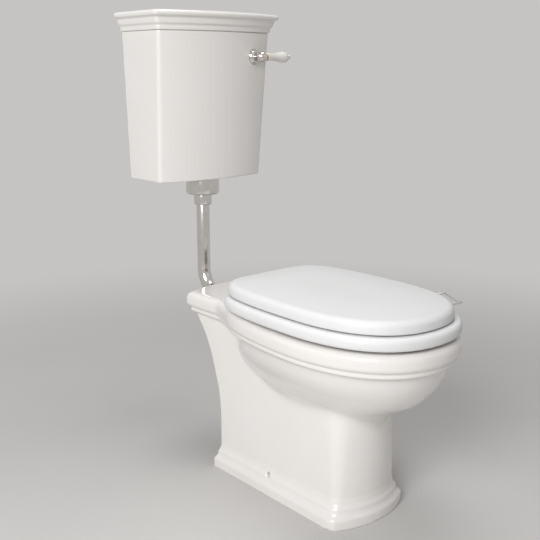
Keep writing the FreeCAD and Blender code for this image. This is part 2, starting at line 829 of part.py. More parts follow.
def pipe_bar(radius):
    """Round bar along the flush pipe's middle line."""
    top = Vector(0, pipe_y, tail_end)
    bend = Vector(0, pipe_y, inlet_height)
    end = Vector(0, shelf_corner_y + shelf_bow - pipe_into_pan, inlet_height)
    return swept(bent_path([top, bend, end], pipe_bend_radius), radius, top, -UP)


def build_flush_pipe():
    return pipe_bar(pipe_radius).cut(pipe_bar(pipe_radius - pipe_wall))


def build_flush_cone():
    """Rubber plug between the pipe and the hole in the back of the shelf."""
    start = Vector(0, shelf_corner_y + shelf_bow - pipe_into_pan, inlet_height)
    bore = pipe_radius - pipe_wall
    skirt = inlet_hole_radius - seal_gap
    flange = pipe_into_pan + cone_step
    end = flange + cone_collar_height
    profile = [(bore, 0), (skirt - cone_lead / 3, 0), (skirt, cone_lead), (skirt, flange),
               (cone_flange_radius, flange), (cone_flange_radius, flange + cone_flange_height),
               (pipe_radius + cone_collar_wall, end), (bore, end)]
    return along(turned(profile), start, BACK).cut(pipe_bar(pipe_radius))


def build_pipe_coupling():
    """Chrome nut that holds the pipe to the siphon's tail."""
    top = cistern_bottom - cup_height
    low = top - coupling_height
    lip = low + coupling_lip
    return under_cistern([(pipe_radius, low), (coupling_radius - coupling_round, low),
                          (coupling_radius, low + coupling_round), (coupling_radius, top),
                          (tail_radius, top), (tail_radius, lip), (pipe_radius, lip)])


def build_siphon_cup():
    """Chrome cover over the siphon's nut, below the cistern."""
    top = cistern_bottom
    low = top - cup_height
    hole = tail_radius + tail_gap
    inside = cup_radius - cup_wall
    floor = low + cup_round + cup_wall
    return under_cistern([(hole, low), (cup_radius - cup_round, low), (cup_radius, low + cup_round),
                          (cup_radius, top), (inside, top), (inside, floor), (hole, floor)])


def build_siphon_nut():
    base = Vector(0, pipe_y, cistern_bottom - siphon_nut_height)
    nut = hexagon(siphon_nut_radius, siphon_nut_height, base, RIGHT, BACK)
    return nut.cut(through(tail_radius, base, UP))


def build_siphon_washer():
    return tube(siphon_flange_radius, tail_radius, siphon_seal, Vector(0, pipe_y, floor_top), UP)


# Siphon
def rod_at(z):
    """Point on the siphon's rod, under the end of the lever's crank."""
    spot = lever_frame().multVec(Vector(-crank_reach, crank_plane, 0))
    return Vector(spot.x, spot.y, z)


def leg_at(z):
    """Point on the siphon's outlet leg."""
    return Vector(0, pipe_y, z)


def stadium(radius, z):
    """Face round the chamber and the outlet leg."""
    one = rod_at(z)
    two = leg_at(z)
    ahead = (two - one).normalize() * radius
    aside = UP.cross(ahead)
    edges = [line(one - aside, two - aside), arc(two - aside, two + ahead, two + aside),
             line(two + aside, one + aside), arc(one + aside, one - ahead, one - aside)]
    return Part.Face(Part.Wire(edges))


def build_siphon_body():
    leg_length = hood_base - tail_end
    bore_radius = chamber_radius - chamber_wall
    leg = rod(tail_radius, leg_length + hood_overlap, leg_at(tail_end), UP)
    flange = rod(siphon_flange_radius, siphon_flange_height, leg_at(flange_base), UP)
    chamber = rod(chamber_radius, chamber_height + hood_overlap, rod_at(chamber_foot), UP)
    hood = stadium(chamber_radius, hood_base).extrude(UP * hood_height)
    space = stadium(bore_radius, hood_base + chamber_wall).extrude(UP * (hood_height - 2 * chamber_wall))
    leg_bore = rod(tail_radius - tail_wall, leg_length + 2 * hood_overlap, leg_at(tail_end - over), UP)
    chamber_bore = rod(bore_radius, chamber_height + 2 * hood_overlap, rod_at(chamber_foot - over), UP)
    rod_hole = rod(rod_radius + rod_gap, hood_height, rod_at(hood_top - hood_height / 2), UP)
    body = leg.fuse([chamber, hood, flange.cut(chamber_bore)])
    return body.cut([space, leg_bore, rod_hole]).cut(chamber_bore.cut(leg))


def build_siphon_plate():
    """Plunger plate in the siphon's chamber."""
    outer = chamber_radius - chamber_wall - plate_gap
    return tube(outer, rod_radius, plate_thickness, rod_at(chamber_foot + plate_rest), UP)


def build_siphon_rod():
    """Plunger rod with the slotted link that the crank's pin lifts."""
    low = chamber_foot + plate_rest - rod_below_plate
    high = lever_z - link_height / 2
    stem = rod(rod_radius, high - low + over, rod_at(low), UP)
    half_slot = link_slot / 2
    half_opening = link_pin_radius + link_pin_gap
    end = half_slot + link_end
    half = link_thickness / 2
    plate = block(-end, end, -half, half, -link_height / 2, link_height / 2)
    slot = block(-half_slot, half_slot, -link_thickness, link_thickness, -half_opening, half_opening)
    link = plate.cut(slot)
    link.translate(Vector(-crank_reach, crank_plane, 0))
    return stem.fuse(placed(link, lever_frame()))


# Flush lever, in its own frame: the spindle along Y, the handle along +X, the rose's seat at Y = 0
# Shares of the rose's radius and thickness, from its foot to the dome's edge
rose_dome = [(1, 0), (1, 0.2), (0.96, 0.45), (0.87, 0.7), (0.75, 0.9)]


def build_lever_rose():
    bore = bush_radius + rose_bore_gap
    dome = [(rose_radius * across, rose_thickness * rise) for across, rise in rose_dome]
    face = [(bush_radius + rose_face, rose_thickness), (bore, rose_thickness)]
    return placed(along(turned([(bore, 0)] + dome + face), Vector(), -BACK), lever_frame())


def build_lever_bush():
    front = BACK * -rose_thickness
    bush = tube(bush_radius, spindle_radius + spindle_gap, rose_thickness + bush_length, front, BACK)
    return placed(bush, lever_frame())


def build_lever_nut():
    nut = hexagon(lever_nut_radius, lever_nut_height, BACK * lever_nut_seat, UP, RIGHT)
    return placed(nut.cut(through(bush_radius, Vector(), BACK)), lever_frame())


def build_lever_spindle():
    """Spindle with the round hub that carries the handle."""
    middle = BACK * ball_y
    spindle = rod(spindle_radius, crank_plane + spindle_end - ball_y, middle, BACK)
    ball = Part.makeSphere(ball_radius, middle, RIGHT)
    socket = rod(2 * ball_radius, ball_radius, middle + RIGHT * collar_start, RIGHT)
    hub = ball.cut([behind(-rose_thickness - ball_stand_off), socket])
    return placed(hub.fuse(spindle), lever_frame())


def handle_piece(profile):
    """Turned piece of the handle, its profile measured along the handle from the hub's middle."""
    return placed(along(turned(profile), BACK * ball_y, RIGHT), lever_frame())


grip_start = collar_start + collar_length
grip_end = lever_reach - tip_length


def build_lever_collar():
    bulge = collar_radius + collar_bulge
    middle = collar_start + collar_length / 2
    return handle_piece([(0, collar_start), (collar_radius, collar_start), (bulge, middle),
                         (collar_radius, grip_start), (0, grip_start)])


# Share of the grip's length and its radius there
grip_shape = [(0.0, 9.0), (0.05, 10.0), (0.12, 9.4), (0.3, 9.4), (0.48, 10.2), (0.63, 12.2), (0.77, 13.7),
              (0.89, 12.6), (0.96, 10.0), (1.0, 7.5)]

# Share of the tip's length and its radius there
tip_shape = [(0, 6.6), (0.15, 6.6), (0.3, 4.8), (0.5, 6.0), (0.75, 5.2), (0.9, 3.4)]


def build_lever_grip():
    run = grip_end - grip_start
    side = [(radius, grip_start + share * run) for share, radius in grip_shape]
    return handle_piece([(0, grip_start)] + side + [(0, grip_end)])


def build_lever_tip():
    side = [(radius, grip_end + share * tip_length) for share, radius in tip_shape]
    return handle_piece([(0, grip_end)] + side + [(0, lever_reach)])


def build_lever_crank():
    """Arm inside the cistern with the pin that lifts the siphon's rod."""
    front = crank_plane - link_thickness / 2 - crank_gap - crank_thickness
    boss = BACK * front
    end = boss - RIGHT * crank_reach
    arm = block(-crank_reach, 0, front, front + crank_thickness, -crank_half_width, crank_half_width)
    pin_length = crank_thickness + 2 * crank_gap + link_thickness + link_pin_end
    rounds = [rod(crank_boss_radius, crank_thickness, boss, BACK),
              rod(crank_half_width, crank_thickness, end, BACK),
              rod(link_pin_radius, pin_length, end, BACK)]
    return placed(arm.fuse(rounds).cut(through(spindle_radius, Vector(), BACK)), lever_frame())


# Inlet valve and float
def valve_wall_x():
    """Flat on the inside of the cistern's right wall at the inlet."""
    return cistern_half_width(valve_z) - cistern_wall + inlet_seat_depth


def nut_wall_x():
    """Flat on the outside of the same wall."""
    return cistern_half_width(valve_z) - inlet_seat_depth


def valve_end_x():
    return valve_wall_x() - valve_seal - valve_reach


def float_pivot():
    return Vector(valve_end_x(), valve_y, valve_z - pivot_drop)


def cross_bar(radius, width):
    """Round bar along Y, centred on the float's pivot."""
    return rod(radius, width, float_pivot() - BACK * (width / 2), BACK)


def build_inlet_valve():
    """Valve body with its threaded tail through the side and a fork for the float's arm."""
    inner = valve_wall_x() - valve_seal
    end = valve_end_x()
    tail_length = nut_wall_x() - inner + tail_out
    body = rod(valve_radius, valve_reach, inlet_at(end), RIGHT)
    flange = rod(valve_flange_radius, valve_flange_height, inlet_at(inner - valve_flange_height), RIGHT)
    tail = rod(tail_thread_radius, tail_length - spigot_length, inlet_at(inner), RIGHT)
    spigot = rod(spigot_radius, tail_length, inlet_at(inner), RIGHT)
    bore = rod(valve_bore_radius, far, inlet_at(inner - valve_bore_depth), RIGHT)
    spout_foot = inlet_at(inner - spout_set_in) - UP * (valve_radius + spout_drop)
    spout = rod(spout_radius, valve_radius + spout_drop, spout_foot, UP)
    cheeks = []
    for side in (-1, 1):
        near = valve_y + side * (arm_eye_width / 2 + cheek_gap)
        away = near + side * cheek_thickness
        cheeks.append(block(end - cheek_half, end + cheek_half, min(near, away), max(near, away),
                            valve_z - pivot_drop - cheek_half, valve_z))
    pin_hole = through(float_pin_radius, float_pivot(), BACK)
    return body.fuse([flange, tail, spigot, spout] + cheeks).cut([bore, pin_hole])


def build_inlet_washer():
    outer = valve_flange_radius - over
    return tube(outer, tail_thread_radius, valve_seal, inlet_at(valve_wall_x() - valve_seal), RIGHT)


def build_inlet_nut():
    face = inlet_at(nut_wall_x())
    nut = hexagon(inlet_nut_radius, inlet_nut_height, face, BACK, UP)
    return nut.cut(through(tail_thread_radius, face, RIGHT))


def build_float_pin():
    return cross_bar(float_pin_radius, arm_eye_width + 2 * (cheek_gap + cheek_thickness + float_pin_end))


def float_heading():
    drop = math.radians(float_drop)
    return Vector(-math.cos(drop), 0, -math.sin(drop))


def float_rod():
    return rod(arm_radius, float_arm_length, float_pivot(), float_heading())


def build_float_arm():
    bore = through(float_pin_radius + hinge_running_gap, float_pivot(), BACK)
    return cross_bar(arm_eye_radius, arm_eye_width).fuse(float_rod()).cut(bore)


def build_float():
    """Float at the arm's end, a drum with chamfered ends."""
    start = float_arm_length - float_length + float_round
    end = start + float_length
    end_radius = float_radius - float_round
    profile = [(0, start), (end_radius, start), (float_radius, start + float_round),
               (float_radius, end - float_round), (end_radius, end), (0, end)]
    return along(turned(profile), float_pivot(), float_heading()).cut(float_rod())


pieces = {
    "pan": build_pan,
    "cistern": build_cistern,
    "cistern_lid": build_cistern_lid,
    "flush_pipe": build_flush_pipe,
    "flush_cone": build_flush_cone,
    "pipe_coupling": build_pipe_coupling,
    "siphon_cup": build_siphon_cup,
    "siphon_nut": build_siphon_nut,
    "siphon_washer": build_siphon_washer,
    "siphon_body": build_siphon_body,
    "siphon_plate": build_siphon_plate,
    "siphon_rod": build_siphon_rod,
    "lever_rose": build_lever_rose,
    "lever_bush": build_lever_bush,
    "lever_nut": build_lever_nut,
    "lever_spindle": build_lever_spindle,
    "lever_collar": build_lever_collar,
    "lever_grip": build_lever_grip,
    "lever_tip": build_lever_tip,
    "lever_crank": build_lever_crank,
    "inlet_valve": build_inlet_valve,
    "inlet_washer": build_inlet_washer,
    "inlet_nut": build_inlet_nut,
    "float_pin": build_float_pin,
    "float_arm": build_float_arm,
    "float": build_float,
    "seat_ring": build_seat_ring,
    "ring_buffers": build_ring_buffers,
    "lift_handle": build_lift_handle,
    "seat_lid": build_seat_lid,
    "lid_buffers": build_lid_buffers,
    "hinge_pillars": build_hinge_pillars,
    "hinge_pins": build_hinge_pins,
    "hinge_washers": build_hinge_washers,
    "wing_nuts": build_wing_nuts,
}

os.makedirs("parts", exist_ok=True)
for node, build in pieces.items():
    solids = build().Solids
    shape = solids[0] if len(solids) == 1 else Part.Compound(solids)
    shape.exportStep(f"parts/{node}.step")
    print(node, len(solids), "solids,", round(shape.Volume / 1000, 2), "cm3, valid", shape.isValid())
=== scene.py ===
"""Looks of the low level toilet: glazed china, painted seat, chrome and brass, on a pale floor."""
import bmesh
import bpy
import json
import math
import numpy
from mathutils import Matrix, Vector

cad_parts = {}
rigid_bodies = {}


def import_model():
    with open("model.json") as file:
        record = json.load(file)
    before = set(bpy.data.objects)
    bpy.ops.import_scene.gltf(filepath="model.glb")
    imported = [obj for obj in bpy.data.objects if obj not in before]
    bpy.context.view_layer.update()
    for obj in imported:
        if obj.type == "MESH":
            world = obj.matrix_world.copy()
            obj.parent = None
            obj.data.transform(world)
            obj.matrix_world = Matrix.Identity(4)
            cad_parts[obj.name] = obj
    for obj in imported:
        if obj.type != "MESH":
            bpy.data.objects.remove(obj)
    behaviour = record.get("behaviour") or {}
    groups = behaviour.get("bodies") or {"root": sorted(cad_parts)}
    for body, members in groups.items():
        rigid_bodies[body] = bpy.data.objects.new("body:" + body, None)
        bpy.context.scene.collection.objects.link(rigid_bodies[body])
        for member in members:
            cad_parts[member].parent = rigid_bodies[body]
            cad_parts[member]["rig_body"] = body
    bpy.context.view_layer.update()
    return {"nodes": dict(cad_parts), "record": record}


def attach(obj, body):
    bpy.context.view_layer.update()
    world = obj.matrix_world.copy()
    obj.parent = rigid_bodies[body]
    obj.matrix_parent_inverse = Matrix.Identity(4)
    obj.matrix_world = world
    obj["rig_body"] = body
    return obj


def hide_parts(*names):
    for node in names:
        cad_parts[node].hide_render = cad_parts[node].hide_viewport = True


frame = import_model()
nodes = frame["nodes"]
slot_of = {part["node"]: part["material_slot"] for part in frame["record"]["subparts"]}
slot_of["lever_bush"] = "chrome"    # brass, plated where it shows

# Camera at the photograph's viewing angle, in metres and degrees
CAMERA_PLACE = (-1.2182, -1.2732, 0.920)
CAMERA_TURN = -40.76
CAMERA_TILT = 13.4
SENSOR_MM = 36.0
LENS_MM = 56.31
CAMERA_SHIFT = (0.0025, -0.001)

# Light
FLOOR_COLOUR = (0.62, 0.61, 0.60)
FLOOR_WORN = (0.60, 0.59, 0.58)
FLOOR_RADIUS = 40.0
FADE_START = 0.7
FADE_END = 2.4
BACKGROUND_COLOUR = (0.56, 0.553, 0.547, 1.0)
SKY_COLOUR = (1.0, 0.98, 0.96, 1.0)
SKY_STRENGTH = 0.26
FLOOR_SEGMENTS = 96
FLOOR_GRAIN = 3.0
FLOOR_ROUGHNESS = 0.85
FLOOR_SPECULAR = 0.2

# Lamps: name, place, target, width and height in metres, watts
LAMPS = [("key", (-2.7, -1.3, 2.0), (0, 0.1, 0.35), (1.6, 1.6), 88),
         ("front", (1.2, -3.0, 2.2), (0, 0, 0.4), (1.4, 1.4), 2),
         ("top", (0.2, 0.2, 3.2), (0, 0.1, 0.4), (1.6, 1.6), 30)]

# Range of a noise that is spread over a material's whole change
NOISE_MIDDLE = (0.3, 0.7)

# Glaze: grains per metre of its pooled colour, gloss, slow wave and fine skin, with depths in metres
GLAZE_POOLING, GLAZE_GLOSS_GRAIN = 7.0, 40.0
GLAZE_ROUGHNESS = (0.10, 0.17)
GLAZE_WAVE_GRAIN, GLAZE_WAVE_DEPTH = 14.0, 0.0006
GLAZE_SKIN_GRAIN, GLAZE_SKIN_DEPTH = 420.0, 0.00001
GLAZE_COAT, GLAZE_COAT_ROUGHNESS = 0.5, 0.04

# Seat paint, in the same units
PAINT_TONE_GRAIN, PAINT_GLOSS_GRAIN = 11.0, 60.0
PAINT_ROUGHNESS = (0.46, 0.56)
PAINT_PEEL_GRAIN, PAINT_PEEL_DEPTH = 700.0, 0.00002
PAINT_SPECULAR = 0.4

# Metals: grain of the tone, and the finer grains of gloss and relief as multiples of it
METAL_GRAIN = 55.0
METAL_GLOSS_FINER = 1.7
METAL_RELIEF_FINER = 6.0
STEEL_GRAIN = 300.0
STEEL_STRETCH = (1.0, 1.0, 0.06)

# Plastic and rubber
MOULDED_TONE_GRAIN = 35.0
MOULDED_GLOSS_GRAIN = 150.0
MOULDED_SKIN_GRAIN = 900.0

# Sizes of the finishing meshes, in metres
CHINA_VOXEL = 0.0022
LID_VOXEL = 0.0015
SEAT_VOXEL = 0.0018
GRIP_VOXEL = 0.0006
SMALL_EDGE = 0.0003
WELD = 0.00001

# Smoothing of these meshes, and how edges are taken off
RELAX_FACTOR = 0.5
CHINA_ROUNDS = 3
SEAT_ROUNDS = 6
GRIP_ROUNDS = 12
EDGE_SEGMENTS = 2
SHARP_ANGLE = math.radians(32)

# Where the bowl runs softly into the pedestal: heights and depth with their fades, in metres
BLEND_LOW, BLEND_LOW_FADE = 0.185, 0.035
BLEND_HIGH, BLEND_HIGH_FADE = 0.362, 0.014
BLEND_BACK, BLEND_BACK_FADE = 0.195, 0.050
BLEND_ROUNDS = 240
BLEND_STEPS = 12

# How far rim and bowl reach back along the neck beyond the solid, in metres: the reach by height,
# its share by depth, and how far out from the middle it starts
REACH_BACK = [(0.200, 0.0), (0.235, 0.045), (0.280, 0.066), (0.330, 0.060), (0.360, 0.046),
              (0.412, 0.045)]
REACH_GROWTH = [(-0.113, 0.0), (0.060, 1.0), (0.110, 1.0), (0.240, 0.0)]
REACH_INNER, REACH_INNER_FADE = 0.088, 0.017

# Space inside the bowl, which stays in place: height, half width, half length and centre, in metres
BOWL_SPACE = [(0.175, 0.044, 0.062, -0.080), (0.205, 0.050, 0.078, -0.086),
              (0.232, 0.062, 0.100, -0.094), (0.250, 0.080, 0.128, -0.102),
              (0.268, 0.098, 0.154, -0.108), (0.286, 0.114, 0.174, -0.112),
              (0.304, 0.128, 0.189, -0.113), (0.322, 0.138, 0.199, -0.113),
              (0.340, 0.146, 0.208, -0.113), (0.360, 0.150, 0.212, -0.113),
              (0.383, 0.147, 0.207, -0.112), (0.391, 0.131, 0.189, -0.113),
              (0.413, 0.129, 0.187, -0.113)]

# Multiples of that space's own size at which the outside starts to move, with the fade
BOWL_SKIN, BOWL_SKIN_FADE = 1.03, 0.06

# Cistern lid, in metres: its foot and height, its overhang, and the cistern's plan under it
LID_FOOT = 1.002
LID_HEIGHT = 0.042
LID_OVERHANG = 0.019
CISTERN_HALF_WIDTH = 0.159
CISTERN_DEPTH = 0.150
WALL_Y = 0.474

# Its moulding as shares of height and of overhang, plain as the solid has it and stepped as it is seen
PLAIN_MOULDING = [(0, 0.1), (0.14, 0.12), (0.2, 0.24), (0.36, 0.36), (0.5, 0.56), (0.6, 0.84),
                  (0.66, 1), (0.8, 1), (0.9, 0.86), (0.96, 0.6), (1, 0.1)]
STEPPED_MOULDING = [(0, 0.14), (0.08, 0.16), (0.2, 0.19), (0.27, 0.25), (0.32, 0.38), (0.38, 0.45),
                    (0.5, 0.51), (0.6, 0.56), (0.65, 0.63), (0.69, 0.82), (0.74, 0.94), (0.82, 1),
                    (0.9, 0.97), (0.96, 0.86), (1, 0.6)]


# Materials
def shader_of(name):
    """New material with its node tree and its main shader."""
    material = bpy.data.materials.new(name)
    material.use_nodes = True
    return material, material.node_tree, material.node_tree.nodes["Principled BSDF"]


def noise(tree, scale, detail=3.0, stretch=(1.0, 1.0, 1.0)):
    """Noise over the object's own place, as a factor."""
    place = tree.nodes.new("ShaderNodeTexCoord")
    mapping = tree.nodes.new("ShaderNodeMapping")
    mapping.inputs["Scale"].default_value = stretch
    texture = tree.nodes.new("ShaderNodeTexNoise")
    texture.inputs["Scale"].default_value = scale
    texture.inputs["Detail"].default_value = detail
    tree.links.new(place.outputs["Object"], mapping.inputs["Vector"])
    tree.links.new(mapping.outputs["Vector"], texture.inputs["Vector"])
    return texture.outputs["Fac"]


def spread(tree, factor, low, high):
    """Factor taken from the middle of a noise's range to low and high."""
    node = tree.nodes.new("ShaderNodeMapRange")
    node.inputs["From Min"].default_value, node.inputs["From Max"].default_value = NOISE_MIDDLE
    node.inputs["To Min"].default_value = low
    node.inputs["To Max"].default_value = high
    tree.links.new(factor, node.inputs["Value"])
    return node.outputs["Result"]


def colour_socket(sockets, name):
    """The colour socket of a name that a mix node gives to several sockets."""
    return next(socket for socket in sockets if socket.name == name and socket.type == "RGBA")


def blend(tree, factor, first, second):
    """Colour between two colours."""
    node = tree.nodes.new("ShaderNodeMix")
    node.data_type = "RGBA"
    colour_socket(node.inputs, "A").default_value = (*first, 1.0)
    colour_socket(node.inputs, "B").default_value = (*second, 1.0)
    tree.links.new(factor, node.inputs["Factor"])
    return colour_socket(node.outputs, "Result")


def bump(tree, shader, height, depth, under=None):
    """Relief of a real depth in metres, over an earlier relief if one is given."""
    node = tree.nodes.new("ShaderNodeBump")
    node.inputs["Distance"].default_value = depth
    tree.links.new(height, node.inputs["Height"])
    if under is not None:
        tree.links.new(under, node.inputs["Normal"])
    tree.links.new(node.outputs["Normal"], shader.inputs["Normal"])
    return node.outputs["Normal"]


def glazed_china(name, pale, deep):
    """Fired glaze: hard gloss, faint pooling of colour and a slow wave in the surface."""
    material, tree, shader = shader_of(name)
    pooling = spread(tree, noise(tree, GLAZE_POOLING), 0.0, 1.0)
    tree.links.new(blend(tree, pooling, pale, deep), shader.inputs["Base Color"])
    gloss = spread(tree, noise(tree, GLAZE_GLOSS_GRAIN), *GLAZE_ROUGHNESS)
    tree.links.new(gloss, shader.inputs["Roughness"])
    wave = bump(tree, shader, noise(tree, GLAZE_WAVE_GRAIN, detail=1.0), GLAZE_WAVE_DEPTH)
    bump(tree, shader, noise(tree, GLAZE_SKIN_GRAIN, detail=2.0), GLAZE_SKIN_DEPTH, under=wave)
    shader.inputs["Coat Weight"].default_value = GLAZE_COAT
    shader.inputs["Coat Roughness"].default_value = GLAZE_COAT_ROUGHNESS
    return material


def satin_paint(name, pale, deep):
    """Sprayed satin paint with a fine orange peel."""
    material, tree, shader = shader_of(name)
    tone = spread(tree, noise(tree, PAINT_TONE_GRAIN), 0.0, 1.0)
    tree.links.new(blend(tree, tone, pale, deep), shader.inputs["Base Color"])
    gloss = spread(tree, noise(tree, PAINT_GLOSS_GRAIN), *PAINT_ROUGHNESS)
    tree.links.new(gloss, shader.inputs["Roughness"])
    bump(tree, shader, noise(tree, PAINT_PEEL_GRAIN, detail=1.0), PAINT_PEEL_DEPTH)
    shader.inputs["Specular IOR Level"].default_value = PAINT_SPECULAR
    return material


def polished_metal(name, pale, deep, roughness, depth, stretch=(1.0, 1.0, 1.0), scale=METAL_GRAIN):
    """Bright metal with faint smears, drawn out where the stretch is small."""
    material, tree, shader = shader_of(name)
    tone = spread(tree, noise(tree, scale, stretch=stretch), 0.0, 1.0)
    tree.links.new(blend(tree, tone, pale, deep), shader.inputs["Base Color"])
    gloss = spread(tree, noise(tree, scale * METAL_GLOSS_FINER, stretch=stretch), *roughness)
    tree.links.new(gloss, shader.inputs["Roughness"])
    bump(tree, shader, noise(tree, scale * METAL_RELIEF_FINER, detail=2.0, stretch=stretch), depth)
    shader.inputs["Metallic"].default_value = 1.0
    return material


def moulded(name, pale, deep, roughness, depth):
    """Moulded plastic or rubber with a fine matt skin."""
    material, tree, shader = shader_of(name)
    tone = spread(tree, noise(tree, MOULDED_TONE_GRAIN), 0.0, 1.0)
    tree.links.new(blend(tree, tone, pale, deep), shader.inputs["Base Color"])
    gloss = spread(tree, noise(tree, MOULDED_GLOSS_GRAIN), *roughness)
    tree.links.new(gloss, shader.inputs["Roughness"])
    bump(tree, shader, noise(tree, MOULDED_SKIN_GRAIN), depth)
    return material


# Each slot with its paler and its deeper colour; then, for metal, plastic and rubber, the range of roughness
# and the depth of relief in metres
materials = {
    "china": glazed_china("china_glaze", (0.855, 0.832, 0.812), (0.835, 0.81, 0.786)),
    "grip_china": glazed_china("grip_glaze", (0.86, 0.84, 0.82), (0.835, 0.81, 0.786)),
    "seat_paint": satin_paint("seat_satin", (0.77, 0.775, 0.778), (0.755, 0.76, 0.763)),
    "chrome": polished_metal("bright_chrome", (0.72, 0.695, 0.67), (0.67, 0.645, 0.62),
                             (0.13, 0.17), 0.000001),
    "brass": polished_metal("worn_brass", (0.66, 0.52, 0.27), (0.52, 0.39, 0.18),
                            (0.20, 0.36), 0.000008),
    "steel": polished_metal("drawn_steel", (0.58, 0.58, 0.59), (0.46, 0.46, 0.47),
                            (0.22, 0.38), 0.000008, STEEL_STRETCH, STEEL_GRAIN),
    "black_rubber": moulded("black_rubber", (0.035, 0.035, 0.035), (0.02, 0.02, 0.02),
                            (0.60, 0.80), 0.00004),
    "pale_rubber": moulded("pale_rubber", (0.62, 0.62, 0.60), (0.55, 0.55, 0.53),
                           (0.45, 0.65), 0.00003),
    "white_plastic": moulded("white_plastic", (0.72, 0.72, 0.70), (0.66, 0.66, 0.64),
                             (0.38, 0.52), 0.00002),
}


# Finishing meshes made over the solids
def welded(node):
    """Mesh of a CAD node with its faces joined along their edges."""
    work = bmesh.new()
    work.from_mesh(nodes[node].data)
    bmesh.ops.remove_doubles(work, verts=work.verts, dist=WELD)
    mesh = bpy.data.meshes.new(node + "_finish")
    work.to_mesh(mesh)
    work.free()
    return mesh


def piece(node, mesh, ending):
    """Object that stands for a CAD node, on the node's body and in its finish."""
    obj = bpy.data.objects.new(node + ending, mesh)
    bpy.context.scene.collection.objects.link(obj)
    mesh.materials.clear()
    mesh.materials.append(materials[slot_of[node]])
    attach(obj, nodes[node]["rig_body"])
    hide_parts(node)
    return obj


def applied(obj):
    """The object's mesh with its modifiers worked in."""
    graph = bpy.context.evaluated_depsgraph_get()
    result = bpy.data.meshes.new_from_object(obj.evaluated_get(graph))
    obj.modifiers.clear()
    obj.data = result
    return result


def shade_smooth(mesh, sharp_angle=None):
    """Smooth shading, with edges kept sharp past an angle."""
    mesh.polygons.foreach_set("use_smooth", [True] * len(mesh.polygons))
    if sharp_angle is not None:
        mesh.set_sharp_from_angle(angle=sharp_angle)


def softened(node, voxel, rounds):
    """Solid piece with edges rounded as glaze or thick paint rounds them."""
    obj = piece(node, welded(node), "_soft")
    remesh = obj.modifiers.new("even", "REMESH")
    remesh.mode = "VOXEL"
    remesh.voxel_size = voxel
    relax = obj.modifiers.new("relax", "SMOOTH")
    relax.factor = RELAX_FACTOR
    relax.iterations = rounds
    shade_smooth(applied(obj))
    return obj


def places_of(obj):
    """The object's points, as rows of x, y and z."""
    places = numpy.empty(len(obj.data.vertices) * 3, dtype=numpy.float32)
    obj.data.vertices.foreach_get("co", places)
    return places.reshape(-1, 3)


def move_to(obj, places):
    """Put the object's points at new places."""
    obj.data.vertices.foreach_set("co", places.ravel())
    obj.data.update()


def eased(share):
    """Shares from 0 to 1 with a soft start and end."""
    share = numpy.clip(share, 0.0, 1.0)
    return share * share * (3 - 2 * share)


def drawn_back(obj):
    """Outside of rim and bowl drawn back, so that the neck turns in sharply at the shelf."""
    places = places_of(obj)
    x, y, z = places.T
    heights, *space = zip(*BOWL_SPACE)
    half_width, half_length, centre = (numpy.interp(z, heights, values) for values in space)
    outside = (numpy.hypot(x / half_width, (y - centre) / half_length) - BOWL_SKIN) / BOWL_SKIN_FADE
    weight = eased(numpy.interp(y, *zip(*REACH_GROWTH))) * eased(outside)
    weight *= eased((numpy.abs(x) - REACH_INNER) / REACH_INNER_FADE)
    places[:, 1] += weight * numpy.interp(z, *zip(*REACH_BACK))
    move_to(obj, places)
    return obj


def ramp(value, start, fade):
    """0 before the start, 1 past the fade."""
    return min(max((value - start) / fade, 0.0), 1.0)


def blended(obj):
    """Bowl and pedestal run into each other in a soft hollow, without the loft's bands."""
    group = obj.vertex_groups.new(name="blend")
    levels = {}
    for vertex in obj.data.vertices:
        _, y, z = vertex.co
        weight = ramp(z, BLEND_LOW, BLEND_LOW_FADE) * ramp(-z, -BLEND_HIGH, BLEND_HIGH_FADE)
        weight *= ramp(-y, -BLEND_BACK, BLEND_BACK_FADE)
        levels.setdefault(round(weight * BLEND_STEPS), []).append(vertex.index)
    for level, indices in sorted(levels.items()):
        group.add(indices, level / BLEND_STEPS, "REPLACE")
    relax = obj.modifiers.new("blend", "SMOOTH")
    relax.factor = RELAX_FACTOR
    relax.iterations = BLEND_ROUNDS
    relax.vertex_group = group.name
    shade_smooth(applied(obj))


def stepped(obj):
    """Cistern lid drawn out or in, height by height, to the two steps under its bead."""
    places = places_of(obj)
    rise = (places[:, 2] - LID_FOOT) / LID_HEIGHT
    plain = LID_OVERHANG * numpy.interp(rise, *zip(*PLAIN_MOULDING))
    seen = LID_OVERHANG * numpy.interp(rise, *zip(*STEPPED_MOULDING))
    wanted = numpy.where(rise < 0, plain, seen)
    places[:, 0] *= (CISTERN_HALF_WIDTH + wanted) / (CISTERN_HALF_WIDTH + plain)
    ahead = (WALL_Y - places[:, 1]) * (CISTERN_DEPTH + wanted) / (CISTERN_DEPTH + plain)
    places[:, 1] = WALL_Y - ahead
    move_to(obj, places)


def trimmed(node, edge):
    """Small piece with its sharp edges taken off."""
    obj = piece(node, welded(node), "_fine")
    bevel = obj.modifiers.new("edge", "BEVEL")
    bevel.width = edge
    bevel.segments = EDGE_SEGMENTS
    bevel.limit_method = "ANGLE"
    bevel.angle_limit = SHARP_ANGLE
    shade_smooth(applied(obj), SHARP_ANGLE)


blended(drawn_back(softened("pan", CHINA_VOXEL, CHINA_ROUNDS)))
softened("cistern", CHINA_VOXEL, CHINA_ROUNDS)
stepped(softened("cistern_lid", LID_VOXEL, CHINA_ROUNDS))
for seat_node in ("seat_ring", "seat_lid"):
    softened(seat_node, SEAT_VOXEL, SEAT_ROUNDS)
softened("lever_grip", GRIP_VOXEL, GRIP_ROUNDS)
finished = {"pan", "cistern", "cistern_lid", "seat_ring", "seat_lid", "lever_grip"}
for small_node in sorted(set(nodes) - finished):
    trimmed(small_node, SMALL_EDGE)


